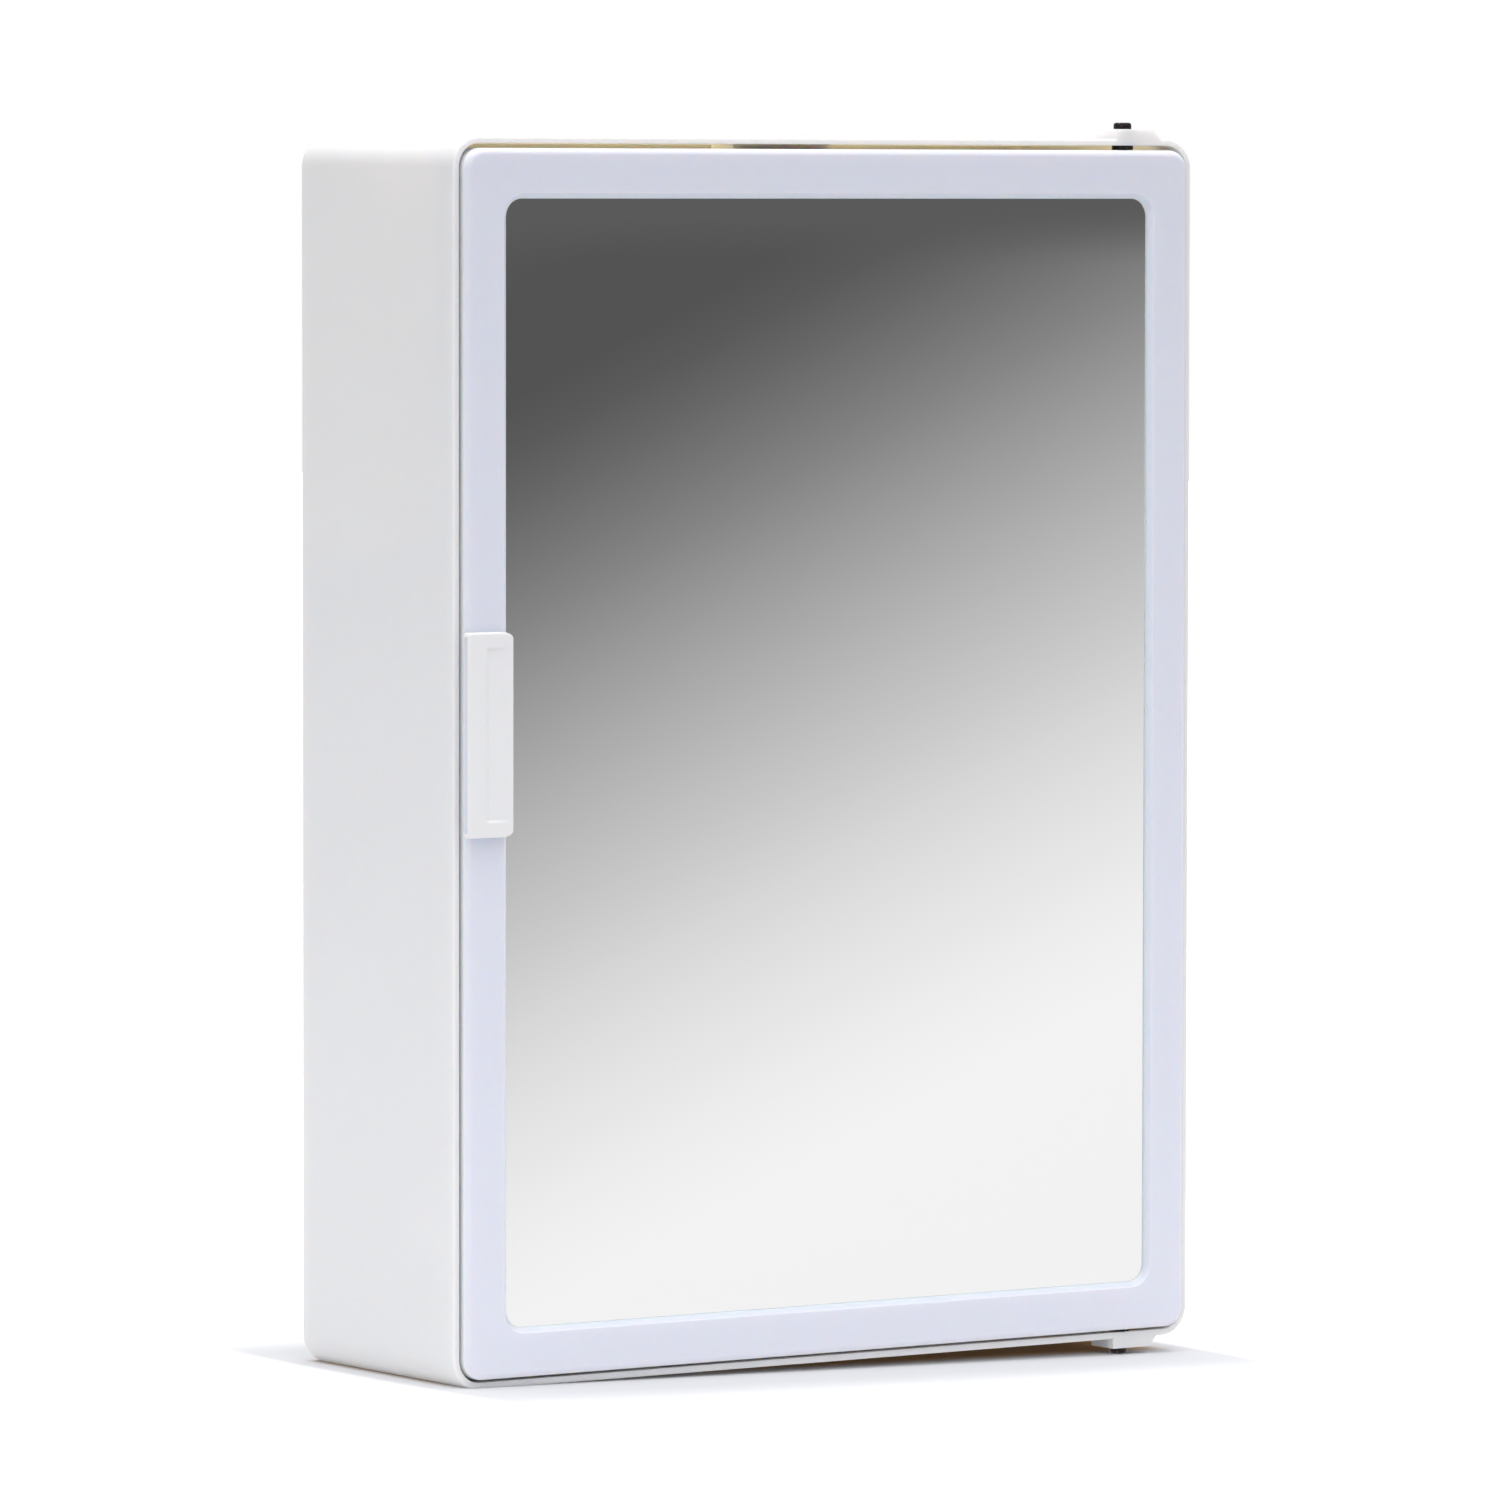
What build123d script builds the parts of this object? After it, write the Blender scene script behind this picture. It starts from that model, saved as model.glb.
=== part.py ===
from build123d import *
import os

# Bathroom mirror cabinet with one hinged mirror door. Millimetres, +X right, +Z up, the front faces -Y.
# The origin is the centre of the four wall-fixing holes, on the plane that meets the wall.
# A name that ends in _out is a distance out from that plane, towards the front.

# Cabinet body, one moulded shell that is open at the front
body_width = 296
body_height = 406
body_depth = 94
wall = 2.2
body_corner_radius = 10
rim_round = 0.8
back_round = 2.0
smallest_corner = 0.5
corner_room = 0.4

# Back of the body: a shallow field inside a rim, crossed by ribs that reach the wall
back_recess = 1.2
back_rim_width = 7
back_rib_width = 2.4
back_rib_columns = 3
back_rib_rows = 5

# Four wall-fixing holes, each in a round pad
fixing_spacing_x = 220
fixing_spacing_z = 326
fixing_hole_radius = 2.75
fixing_pad_radius = 8
fixing_pad_rise = 1.5

# Hinge: one screw through a lug at the top and one at the bottom, near the right side
hinge_from_side = 25.9
hinge_behind_rim = 4.0
hinge_screw_radius = 1.5
hinge_head_radius = 3.0
hinge_head_height = 2.2
hinge_engagement = 8
hinge_running_clearance = 0.08
hinge_boss_radius = 4
hinge_boss_length = 9.5
washer_radius = 3.6
washer_clearance = 0.1
lug_height = 3.3
lug_depth = 12.6
lug_left_of_screw = 5
lug_right_of_screw = 13.2
lug_slope = 3.2

# Shelves on ledges, with a raised front lip, that part the inside into equal compartments
compartments = 3
shelf_thickness = 2.0
shelf_behind_rim = 31
shelf_side_clearance = 0.3
shelf_lip_height = 10
shelf_lip_thickness = 2.0
shelf_edge_round = 0.8
ledge_width = 4
ledge_height = 2.2
keeper_width = 2.5
keeper_height = 1.6
keeper_clearance = 0.3
keeper_setback = 10
back_ledge_length = 200

# Door: a bezel with a skirt all round, its front ahead of the body's rim
door_proud = 3.0
door_depth = 14
side_gap = 1.0
top_gap = 1.6
bottom_gap = 1.0
face_thickness = 2.2
skirt_wall = 2.0
face_round = 2.2
window_margin = 16.3
window_corner_radius = 6
window_bevel = 1.9

# Mirror, and what holds it in the bezel
glass_thickness = 2.0
glass_overlap = 6
glass_clearance = 0.3
glass_corner_radius = 4
glass_rib_width = 1.2
glass_rib_height = 2.5
sheet_thickness = 1.0
sheet_margin = 1.0

# Back panel of the door
panel_thickness = 1.8
panel_clearance = 0.15
panel_inset = 0.4
panel_rib_width = 1.6
panel_rib_margin = 8
panel_rib_columns = 5
panel_rib_rows = 7

# Screws that hold the back panel, in posts inside the bezel
post_radius = 3.0
post_from_end = 19.5
post_from_side = 69.8
side_post_rows = 4
panel_pad_radius = 3.2
panel_pad_rise = 1.6
panel_screw_radius = 1.15
panel_head_radius = 2.4
panel_head_height = 1.4
panel_screw_length = 7
thread_clearance = 0.05
head_clearance = 0.3

# Handle on the left stile
handle_width = 17.4
handle_height = 66.5
handle_proud = 3.6
handle_overhang = 1.4
handle_above_middle = 9.9
handle_left_corner = 1.5
handle_right_corner = 4.5
handle_round = 0.7
handle_lip = 1.1
scoop_radius = 4.2
scoop_end_wall = 1.6
dish_from_left = 6.2
dish_width = 10.4
dish_height = 56
dish_depth = 0.9
handle_stud_radius = 2.5
handle_stud_clearance = 0.1
handle_screw_spacing = 36
handle_screw_radius = 1.1
handle_screw_length = 4.4
handle_head_radius = 3.0
handle_head_height = 1.4

# Magnetic catch under the top wall, and its strike plate on the door
catch_x = -11
catch_width = 39
catch_depth = 13
catch_height = 9
catch_pad_rise = 3.0
catch_ear_length = 5.5
catch_ear_thickness = 3.0
magnet_width = 24
magnet_thickness = 4
magnet_length = 10
pole_thickness = 1.0
pole_proud = 0.8
pocket_clearance = 0.1
catch_screw_radius = 1.3
catch_head_radius = 2.4
catch_head_height = 1.5
catch_screw_length = 7
strike_width = 34
strike_height = 7
strike_thickness = 1.0
strike_gap = 0.3
strike_corner_radius = 1.0
strike_screw_spacing = 28
strike_screw_radius = 1.0
strike_head_radius = 1.9
strike_screw_length = 3.6
strike_pad_radius = 2.8
strike_pad_rise = 3.0

# Two stops on the left wall, each with a soft bumper for the closed door
stop_spacing = 300
stop_width = 9
stop_height = 10
stop_depth = 7
bumper_radius = 3.5
bumper_thickness = 1.5
bumper_gap = 0.3

# Cross recess of every pan-head screw, as shares of its head
drive_width_share = 0.26
drive_length_share = 1.2
drive_depth_share = 0.5
head_round_share = 0.4

# Places that follow from the sizes above
inner_width = body_width - 2 * wall
inner_height = body_height - 2 * wall
inner_corner_radius = max(body_corner_radius - wall, smallest_corner)
floor_out = back_recess + wall
door_width = inner_width - 2 * side_gap
door_height = inner_height - top_gap - bottom_gap
door_z = (bottom_gap - top_gap) / 2
door_corner_radius = max(inner_corner_radius - side_gap, smallest_corner)
skirt_corner_radius = max(door_corner_radius - skirt_wall, smallest_corner)
face_out = body_depth + door_proud
face_back_out = face_out - face_thickness
skirt_out = face_out - door_depth
hinge_x = body_width / 2 - hinge_from_side
hinge_out = body_depth - hinge_behind_rim
door_top = door_z + door_height / 2
door_bottom = door_z - door_height / 2
window_width = door_width - 2 * window_margin
window_height = door_height - 2 * window_margin
glass_width = window_width + 2 * glass_overlap
glass_height = window_height + 2 * glass_overlap
glass_back_out = face_back_out - glass_thickness
sheet_back_out = glass_back_out - sheet_thickness
panel_back_out = skirt_out + panel_inset
panel_front_out = panel_back_out + panel_thickness
panel_width = door_width - 2 * (skirt_wall + panel_clearance)
panel_height = door_height - 2 * (skirt_wall + panel_clearance)
panel_seat_out = panel_back_out + panel_head_height + head_clearance
post_end_out = panel_front_out + panel_pad_rise
rib_reach = glass_clearance + glass_rib_width
post_x = (door_width / 2 - skirt_wall + glass_width / 2 + rib_reach) / 2
post_z = (door_height / 2 - skirt_wall + glass_height / 2 + rib_reach) / 2
side_post_pitch = (door_height - 2 * post_from_end) / (side_post_rows - 1)
end_post_spacing = door_width - 2 * post_from_side
strike_out = panel_back_out - strike_thickness
pole_out = strike_out - strike_gap
catch_out = pole_out - pole_proud
catch_top = inner_height / 2 - catch_pad_rise
catch_z = catch_top - catch_height / 2
ear_x = (catch_width - catch_ear_length) / 2
strike_z = min(catch_z, door_z + panel_height / 2 - strike_height / 2 - corner_room)
stop_out = skirt_out - bumper_gap - bumper_thickness
bumper_x = -inner_width / 2 + stop_width / 2
handle_x = -door_width / 2 - handle_overhang + handle_width / 2
handle_left = handle_x - handle_width / 2
handle_out = face_out + handle_proud
shelf_front_out = body_depth - shelf_behind_rim
shelf_back_out = floor_out + shelf_side_clearance
shelf_tops = [side * inner_height / 2 / compartments for side in (-1, 1)]

# Planes: the door's own plane is square to the wall's, with its centre at the middle of the door
door_plane = Plane((0, 0, door_z), x_dir=(1, 0, 0), z_dir=(0, -1, 0))
door_back_plane = Plane((0, -panel_seat_out, door_z), x_dir=(1, 0, 0), z_dir=(0, 1, 0))


def ring_of_posts():
    """Places of the back panel's screws, on the door's plane."""
    side_posts = GridLocations(2 * post_x, side_post_pitch, 2, side_post_rows).local_locations
    end_posts = GridLocations(end_post_spacing, 2 * post_z, 2, 2).local_locations
    return side_posts + end_posts


def pan_screw(head_radius, head_height, shank_radius, shank_length):
    """A pan-head screw with a cross recess: its seat is on XY, its shank points down."""
    with BuildPart() as screw:
        Cylinder(head_radius, head_height, align=(Align.CENTER, Align.CENTER, Align.MIN))
        fillet(screw.edges().sort_by(Axis.Z)[-1], head_height * head_round_share)
        with BuildSketch(Plane.XY.offset(head_height)):
            for turn in (0, 90):
                Rectangle(head_radius * drive_length_share, head_radius * drive_width_share, rotation=turn)
        extrude(amount=-head_height * drive_depth_share, mode=Mode.SUBTRACT)
        Cylinder(shank_radius, shank_length, align=(Align.CENTER, Align.CENTER, Align.MAX))
        chamfer(screw.edges().sort_by(Axis.Z)[0], shank_radius / 3)
    return screw.part


def finish(builder, label):
    """Label a finished piece and write its file."""
    builder.part.label = label
    export_step(builder.part, f"parts/{label}.step")


os.makedirs("parts", exist_ok=True)

# Cabinet body
with BuildPart() as cabinet_body:
    with BuildSketch(Plane.XZ):
        RectangleRounded(body_width, body_height, body_corner_radius)
    extrude(amount=body_depth)
    fillet(cabinet_body.faces().sort_by(Axis.Y)[-1].edges(), back_round)
    fillet(cabinet_body.faces().sort_by(Axis.Y)[0].edges(), rim_round)
    with BuildSketch(Plane.XZ.offset(floor_out)):
        RectangleRounded(inner_width, inner_height, inner_corner_radius)
    extrude(amount=body_depth - floor_out, mode=Mode.SUBTRACT)

    # The outer back field, with its ribs and pads left standing
    field_width = body_width - 2 * back_rim_width
    field_height = body_height - 2 * back_rim_width
    with BuildSketch(Plane.XZ):
        RectangleRounded(field_width, field_height, max(body_corner_radius - back_rim_width, smallest_corner))
        with GridLocations(field_width / (back_rib_columns + 1), 0, back_rib_columns, 1):
            Rectangle(back_rib_width, field_height, mode=Mode.SUBTRACT)
        with GridLocations(0, field_height / (back_rib_rows + 1), 1, back_rib_rows):
            Rectangle(field_width, back_rib_width, mode=Mode.SUBTRACT)
        with GridLocations(fixing_spacing_x, fixing_spacing_z, 2, 2):
            Circle(fixing_pad_radius, mode=Mode.SUBTRACT)
    extrude(amount=back_recess, mode=Mode.SUBTRACT)
    with BuildSketch(Plane.XZ.offset(floor_out)):
        with GridLocations(fixing_spacing_x, fixing_spacing_z, 2, 2):
            Circle(fixing_pad_radius)
    extrude(amount=fixing_pad_rise)
    with BuildSketch(Plane.XZ):
        with GridLocations(fixing_spacing_x, fixing_spacing_z, 2, 2):
            Circle(fixing_hole_radius)
    extrude(amount=floor_out + fixing_pad_rise, mode=Mode.SUBTRACT)

    # Hinge lugs, one above the top wall and one below the bottom wall
    for side in (1, -1):
        outside = side * body_height / 2
        inside = outside - side * wall / 2
        crest = outside + side * lug_height
        right_end = hinge_x + lug_right_of_screw
        with BuildSketch(Plane.XZ.offset(body_depth - lug_depth)):
            with BuildLine():
                Polyline(
                    (hinge_x - lug_left_of_screw, inside),
                    (hinge_x - lug_left_of_screw, crest),
                    (right_end - lug_slope, crest),
                    (right_end, outside),
                    (right_end, inside),
                    close=True,
                )
            make_face()
        extrude(amount=lug_depth)
    with Locations((hinge_x, -hinge_out, 0)):
        Cylinder(hinge_screw_radius + thread_clearance, body_height + 4 * lug_height, mode=Mode.SUBTRACT)

    # Ledges under each shelf, and keepers above its sides
    ledge_run = shelf_front_out - floor_out
    for shelf_top in shelf_tops:
        ledge_z = shelf_top - shelf_thickness - ledge_height / 2
        keeper_z = shelf_top + keeper_clearance + keeper_height / 2
        with BuildSketch(Plane.XZ.offset(floor_out)):
            with Locations((-(inner_width - ledge_width) / 2, ledge_z), ((inner_width - ledge_width) / 2, ledge_z)):
                Rectangle(ledge_width, ledge_height)
        extrude(amount=ledge_run)
        with BuildSketch(Plane.XZ.offset(floor_out)):
            with Locations((-(inner_width - keeper_width) / 2, keeper_z), ((inner_width - keeper_width) / 2, keeper_z)):
                Rectangle(keeper_width, keeper_height)
        extrude(amount=ledge_run - keeper_setback)
        with BuildSketch(Plane.XZ.offset(floor_out)):
            with Locations((0, ledge_z)):
                Rectangle(back_ledge_length, ledge_height)
        extrude(amount=ledge_width)

    # Pad for the catch, with blind holes for its screws
    with BuildSketch(Plane.XY.offset(catch_top)):
        with Locations((catch_x, -catch_out + catch_depth / 2)):
            Rectangle(catch_width, catch_depth)
    extrude(amount=catch_pad_rise)
    with BuildSketch(Plane.XY.offset(catch_top)):
        with Locations((catch_x - ear_x, -catch_out + catch_depth / 2), (catch_x + ear_x, -catch_out + catch_depth / 2)):
            Circle(catch_screw_radius + thread_clearance)
    extrude(amount=catch_screw_length - catch_ear_thickness + head_clearance, mode=Mode.SUBTRACT)

    # Door stops on the left wall
    with BuildSketch(Plane.XZ.offset(stop_out - stop_depth)):
        with Locations((bumper_x, 0)):
            with GridLocations(0, stop_spacing, 1, 2):
                Rectangle(stop_width, stop_height)
    extrude(amount=stop_depth)
finish(cabinet_body, "cabinet_body")

# Shelves
for name, shelf_top in zip(("lower_shelf", "upper_shelf"), shelf_tops):
    shelf_width = inner_width - 2 * shelf_side_clearance
    with BuildPart() as shelf:
        with BuildSketch(Plane.XY.offset(shelf_top - shelf_thickness)):
            with Locations((0, -(shelf_front_out + shelf_back_out) / 2)):
                Rectangle(shelf_width, shelf_front_out - shelf_back_out)
        extrude(amount=shelf_thickness)
        with BuildSketch(Plane.XY.offset(shelf_top)):
            with Locations((0, -shelf_front_out + shelf_lip_thickness / 2)):
                Rectangle(shelf_width, shelf_lip_thickness)
        extrude(amount=shelf_lip_height)
        lip_edges = shelf.edges().filter_by(Axis.X).group_by(Axis.Z)[-1]
        fillet(lip_edges, min(shelf_edge_round, shelf_lip_thickness * 0.45))
    finish(shelf, name)

# Magnetic catch: housing, magnet, two steel pole plates, two screws
catch_y = -catch_out + catch_depth / 2
pocket_height = magnet_thickness + 2 * pole_thickness + 2 * pocket_clearance
pocket_width = magnet_width + 2 * pocket_clearance
with BuildPart() as catch_housing:
    with Locations((catch_x, catch_y, catch_z)):
        Box(catch_width - 2 * catch_ear_length, catch_depth, catch_height)
    with Locations((catch_x, catch_y, catch_top - catch_ear_thickness / 2)):
        Box(catch_width, catch_depth, catch_ear_thickness)
    fillet(catch_housing.edges().filter_by(Axis.Z), smallest_corner)
    with BuildSketch(Plane.XZ.offset(catch_out)):
        with Locations((catch_x, catch_z)):
            Rectangle(pocket_width, pocket_height)
    extrude(amount=-magnet_length - pocket_clearance, mode=Mode.SUBTRACT)
    with Locations((catch_x - ear_x, catch_y, catch_top), (catch_x + ear_x, catch_y, catch_top)):
        Cylinder(catch_screw_radius + thread_clearance, 2 * catch_ear_thickness, mode=Mode.SUBTRACT)
finish(catch_housing, "catch_housing")

with BuildPart() as catch_magnet:
    with BuildSketch(Plane.XZ.offset(catch_out)):
        with Locations((catch_x, catch_z)):
            Rectangle(magnet_width, magnet_thickness)
    extrude(amount=-magnet_length)
finish(catch_magnet, "catch_magnet")

with BuildPart() as catch_pole_plates:
    with BuildSketch(Plane.XZ.offset(pole_out)):
        with Locations((catch_x, catch_z)):
            with GridLocations(0, magnet_thickness + pole_thickness, 1, 2):
                Rectangle(magnet_width, pole_thickness)
    extrude(amount=-magnet_length - pole_proud)
finish(catch_pole_plates, "catch_pole_plates")

catch_screw = pan_screw(catch_head_radius, catch_head_height, catch_screw_radius, catch_screw_length)
catch_seat = Plane((catch_x, catch_y, catch_top - catch_ear_thickness), x_dir=(1, 0, 0), z_dir=(0, 0, -1))
with BuildPart(catch_seat) as catch_screws:
    with GridLocations(2 * ear_x, 0, 2, 1):
        add(catch_screw)
finish(catch_screws, "catch_screws")

# Soft bumpers on the two stops
with BuildPart() as door_bumpers:
    with BuildSketch(Plane.XZ.offset(stop_out)):
        with Locations((bumper_x, 0)):
            with GridLocations(0, stop_spacing, 1, 2):
                Circle(bumper_radius)
    extrude(amount=bumper_thickness)
    fillet(door_bumpers.edges().group_by(Axis.Y)[0], bumper_thickness / 3)
finish(door_bumpers, "door_bumpers")

# Hinge screws and the washers that carry and space the door
for name, side, gap in (("upper", 1, top_gap), ("lower", -1, bottom_gap)):
    screw_length = lug_height + wall + gap + hinge_engagement
    turned_screw = pan_screw(hinge_head_radius, hinge_head_height, hinge_screw_radius, screw_length)
    seat = Plane((hinge_x, -hinge_out, side * (body_height / 2 + lug_height)), x_dir=(1, 0, 0), z_dir=(0, 0, side))
    with BuildPart(seat) as hinge_screw:
        with Locations((0, 0)):
            add(turned_screw)
    finish(hinge_screw, f"{name}_hinge_screw")

    inner_wall = Plane((hinge_x, -hinge_out, side * inner_height / 2), x_dir=(1, 0, 0), z_dir=(0, 0, -side))
    with BuildPart() as hinge_washer:
        with BuildSketch(inner_wall):
            Circle(washer_radius)
            Circle(hinge_screw_radius + thread_clearance, mode=Mode.SUBTRACT)
        extrude(amount=gap - washer_clearance)
    finish(hinge_washer, f"{name}_hinge_washer")

# Door frame: bezel, skirt, posts, hinge bosses and the rib round the glass
with BuildPart() as door_frame:
    with BuildSketch(door_plane.offset(skirt_out)):
        RectangleRounded(door_width, door_height, door_corner_radius)
    extrude(amount=door_depth)
    fillet(door_frame.faces().sort_by(Axis.Y)[0].edges(), face_round)
    with BuildSketch(door_plane.offset(skirt_out)):
        RectangleRounded(door_width - 2 * skirt_wall, door_height - 2 * skirt_wall, skirt_corner_radius)
    extrude(amount=door_depth - face_thickness, mode=Mode.SUBTRACT)
    with BuildSketch(door_plane.offset(face_back_out)):
        RectangleRounded(window_width, window_height, window_corner_radius)
    extrude(amount=face_thickness, mode=Mode.SUBTRACT)
    window_edges = door_frame.faces().sort_by(Axis.Y)[0].inner_wires()[0].edges()
    chamfer(window_edges, min(window_bevel, face_thickness * 0.9))

    # Rib that keeps the glass in place
    with BuildSketch(door_plane.offset(face_back_out - glass_rib_height)):
        RectangleRounded(
            glass_width + 2 * rib_reach, glass_height + 2 * rib_reach, glass_corner_radius + rib_reach
        )
        RectangleRounded(
            glass_width + 2 * glass_clearance,
            glass_height + 2 * glass_clearance,
            glass_corner_radius + glass_clearance,
            mode=Mode.SUBTRACT,
        )
    extrude(amount=glass_rib_height)

    # Posts for the back panel's screws
    with BuildSketch(door_plane.offset(post_end_out)):
        with Locations(*ring_of_posts()):
            Circle(post_radius)
            Circle(panel_screw_radius + thread_clearance, mode=Mode.SUBTRACT)
    extrude(amount=face_back_out - post_end_out)

    # Hinge bosses behind the top and bottom walls of the skirt, bored for the screws
    for side, door_edge in ((1, door_top), (-1, door_bottom)):
        with BuildSketch(Plane((hinge_x, -hinge_out, door_edge - side * skirt_wall / 2), z_dir=(0, 0, -side))):
            Circle(hinge_boss_radius)
        extrude(amount=hinge_boss_length - skirt_wall / 2)
    with Locations((hinge_x, -hinge_out, door_z)):
        Cylinder(hinge_screw_radius + hinge_running_clearance, door_height, mode=Mode.SUBTRACT)

    # Holes for the studs of the handle
    with BuildSketch(Plane.XZ.offset(face_back_out)):
        with Locations((-post_x, handle_above_middle)):
            with GridLocations(0, handle_screw_spacing, 1, 2):
                Circle(handle_stud_radius + handle_stud_clearance)
    extrude(amount=face_thickness, mode=Mode.SUBTRACT)
finish(door_frame, "door_frame")

# Mirror glass, and the soft sheet behind it
with BuildPart() as mirror_glass:
    with BuildSketch(door_plane.offset(glass_back_out)):
        RectangleRounded(glass_width, glass_height, glass_corner_radius)
    extrude(amount=glass_thickness)
finish(mirror_glass, "mirror_glass")

with BuildPart() as mirror_backing_sheet:
    with BuildSketch(door_plane.offset(sheet_back_out)):
        RectangleRounded(glass_width - 2 * sheet_margin, glass_height - 2 * sheet_margin, glass_corner_radius)
    extrude(amount=sheet_thickness)
finish(mirror_backing_sheet, "mirror_backing_sheet")

# Back panel of the door, with ribs that press the sheet and pads at its screws
with BuildPart() as door_back_panel:
    with BuildSketch(door_plane.offset(panel_back_out)):
        RectangleRounded(panel_width, panel_height, max(skirt_corner_radius - panel_clearance, smallest_corner))
    extrude(amount=panel_thickness)
    rib_width = glass_width - 2 * panel_rib_margin
    rib_height = glass_height - 2 * panel_rib_margin
    with BuildSketch(door_plane.offset(panel_front_out)):
        with GridLocations((rib_width - panel_rib_width) / (panel_rib_columns - 1), 0, panel_rib_columns, 1):
            Rectangle(panel_rib_width, rib_height)
        with GridLocations(0, (rib_height - panel_rib_width) / (panel_rib_rows - 1), 1, panel_rib_rows):
            Rectangle(rib_width, panel_rib_width)
    extrude(amount=sheet_back_out - panel_front_out)
    with BuildSketch(door_plane.offset(panel_front_out)):
        with Locations(*ring_of_posts()):
            Circle(panel_pad_radius)
    extrude(amount=panel_pad_rise)
    with BuildSketch(Plane.XZ.offset(panel_front_out)):
        with Locations((catch_x, strike_z)):
            with GridLocations(strike_screw_spacing, 0, 2, 1):
                Circle(strike_pad_radius)
    extrude(amount=strike_pad_rise)
    with BuildSketch(door_plane.offset(panel_back_out)):
        with Locations(*ring_of_posts()):
            Circle(panel_head_radius + head_clearance)
    extrude(amount=panel_seat_out - panel_back_out, mode=Mode.SUBTRACT)
    with BuildSketch(door_plane.offset(panel_back_out)):
        with Locations(*ring_of_posts()):
            Circle(panel_screw_radius + thread_clearance)
    extrude(amount=post_end_out - panel_back_out, mode=Mode.SUBTRACT)
    with BuildSketch(Plane.XZ.offset(panel_back_out)):
        with Locations((catch_x, strike_z)):
            with GridLocations(strike_screw_spacing, 0, 2, 1):
                Circle(strike_screw_radius + thread_clearance)
    extrude(amount=panel_thickness + strike_pad_rise, mode=Mode.SUBTRACT)
finish(door_back_panel, "door_back_panel")

panel_screw = pan_screw(panel_head_radius, panel_head_height, panel_screw_radius, panel_screw_length)
with BuildPart(door_back_plane) as back_panel_screws:
    with Locations(*ring_of_posts()):
        add(panel_screw)
finish(back_panel_screws, "back_panel_screws")

# Strike plate and its countersunk screws
with BuildPart() as strike_plate:
    with BuildSketch(Plane.XZ.offset(strike_out)):
        with Locations((catch_x, strike_z)):
            RectangleRounded(strike_width, strike_height, strike_corner_radius)
    extrude(amount=strike_thickness)
    with Locations(Plane((catch_x, -strike_out, strike_z), x_dir=(1, 0, 0), z_dir=(0, 1, 0))):
        with GridLocations(strike_screw_spacing, 0, 2, 1):
            CounterSinkHole(strike_screw_radius + thread_clearance, strike_head_radius + thread_clearance)
finish(strike_plate, "strike_plate")

strike_head_depth = strike_head_radius - strike_screw_radius
strike_face = Plane((catch_x, -strike_out, strike_z), x_dir=(1, 0, 0), z_dir=(0, 1, 0))
with BuildPart(strike_face) as strike_plate_screws:
    with GridLocations(strike_screw_spacing, 0, 2, 1):
        Cone(
            strike_screw_radius,
            strike_head_radius,
            strike_head_depth,
            align=(Align.CENTER, Align.CENTER, Align.MAX),
        )
        Cylinder(strike_screw_radius, strike_screw_length, align=(Align.CENTER, Align.CENTER, Align.MAX))
finish(strike_plate_screws, "strike_plate_screws")

# Handle: a low block with a finger scoop in its left side and a shallow dish in its front
with BuildPart() as door_handle:
    with BuildSketch(Plane.XZ.offset(face_out)) as handle_outline:
        with Locations((handle_x, handle_above_middle)):
            Rectangle(handle_width, handle_height)
        fillet(handle_outline.vertices().group_by(Axis.X)[0], handle_left_corner)
        fillet(handle_outline.vertices().group_by(Axis.X)[-1], handle_right_corner)
    extrude(amount=handle_proud)
    fillet(door_handle.faces().sort_by(Axis.Y)[0].edges(), handle_round)
    with BuildSketch(Plane.XY.offset(handle_above_middle)):
        with Locations((handle_left, -(handle_out - handle_lip - scoop_radius))):
            Circle(scoop_radius)
    extrude(amount=handle_height / 2 - scoop_end_wall, both=True, mode=Mode.SUBTRACT)
    with BuildSketch(Plane.XY.offset(handle_above_middle)):
        with BuildLine():
            Polyline(
                (handle_left + dish_from_left, -handle_out - dish_depth),
                (handle_left + dish_from_left, -handle_out + dish_depth),
                (handle_left + dish_from_left + dish_width, -handle_out),
                (handle_left + dish_from_left + dish_width, -handle_out - dish_depth),
                close=True,
            )
        make_face()
    extrude(amount=dish_height / 2, both=True, mode=Mode.SUBTRACT)
    with BuildSketch(Plane.XZ.offset(face_back_out)):
        with Locations((-post_x, handle_above_middle)):
            with GridLocations(0, handle_screw_spacing, 1, 2):
                Circle(handle_stud_radius)
    extrude(amount=face_thickness)
    with BuildSketch(Plane.XZ.offset(face_back_out)):
        with Locations((-post_x, handle_above_middle)):
            with GridLocations(0, handle_screw_spacing, 1, 2):
                Circle(handle_screw_radius + thread_clearance)
    extrude(amount=handle_screw_length, mode=Mode.SUBTRACT)
finish(door_handle, "door_handle")

handle_screw = pan_screw(handle_head_radius, handle_head_height, handle_screw_radius, handle_screw_length)
handle_seat = Plane((-post_x, -face_back_out, handle_above_middle), x_dir=(1, 0, 0), z_dir=(0, 1, 0))
with BuildPart(handle_seat) as handle_screws:
    with GridLocations(0, handle_screw_spacing, 1, 2):
        add(handle_screw)
finish(handle_screws, "handle_screws")
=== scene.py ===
"""Bathroom mirror cabinet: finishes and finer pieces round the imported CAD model, its studio and its camera."""
import logging
import math
from dataclasses import dataclass
from enum import Enum
from typing import Any, Callable, Iterable, Sequence

import bmesh
import bpy
import numpy as np
from mathutils import Matrix, Vector


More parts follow.
